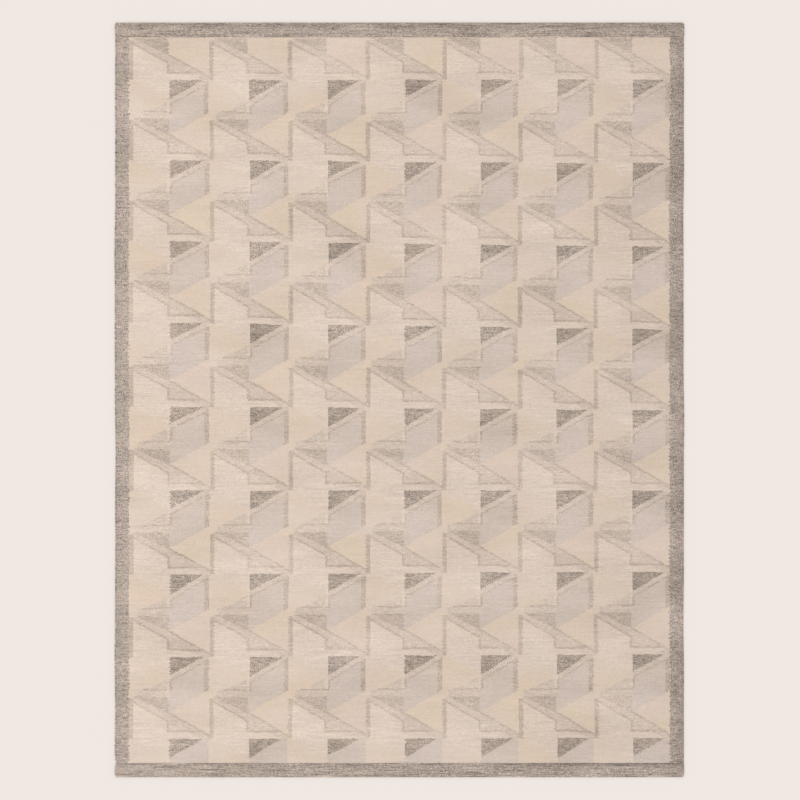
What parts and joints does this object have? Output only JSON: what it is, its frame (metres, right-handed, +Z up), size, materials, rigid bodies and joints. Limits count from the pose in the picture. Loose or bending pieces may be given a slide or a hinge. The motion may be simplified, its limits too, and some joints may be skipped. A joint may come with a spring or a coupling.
{
  "type": "flatweave area rug",
  "caption": "Large hand-woven flatweave wool rug with a repeated slanted geometric pattern, a heathered grey border and turned-under end hems.",
  "frame": {"origin": "middle of the underside, on the floor the rug lies on", "axes": "+Z up out of the face, +Y along the warps towards the end that is at the top of the pattern, +X across the rug to the right"},
  "size_m": [2.76, 3.66, 0.0083],
  "materials": {
    "field_wool": "matt cream and sand heathered wool weft, in lilac-grey, greige and grey areas too",
    "outline_wool": "matt taupe heathered wool weft",
    "border_wool": "matt salt-and-pepper grey wool weft",
    "hem_wool": "matt salt-and-pepper grey wool weft, finer",
    "warp_cotton": "matt undyed cotton",
    "sewing_thread": "plied cotton sewing thread"
  },
  "bodies": {
    "root": {"field_wefts": "field_wool", "left_border_wefts": "border_wool", "right_border_wefts": "border_wool", "top_hem_band": "hem_wool", "bottom_hem_band": "hem_wool", "field_warps": "warp_cotton", "left_border_warps": "warp_cotton", "right_border_warps": "warp_cotton", "left_selvedge_cord": "warp_cotton", "right_selvedge_cord": "warp_cotton", "top_hem_thread": "sewing_thread", "bottom_hem_thread": "sewing_thread", "outline_wefts_row_1": "outline_wool", "outline_wefts_row_2": "outline_wool", "outline_wefts_row_3": "outline_wool", "outline_wefts_row_4": "outline_wool", "outline_wefts_row_5": "outline_wool", "outline_wefts_row_6": "outline_wool", "outline_wefts_row_7": "outline_wool", "outline_wefts_row_8": "outline_wool", "outline_wefts_row_9": "outline_wool"}
  },
  "joints": []
}
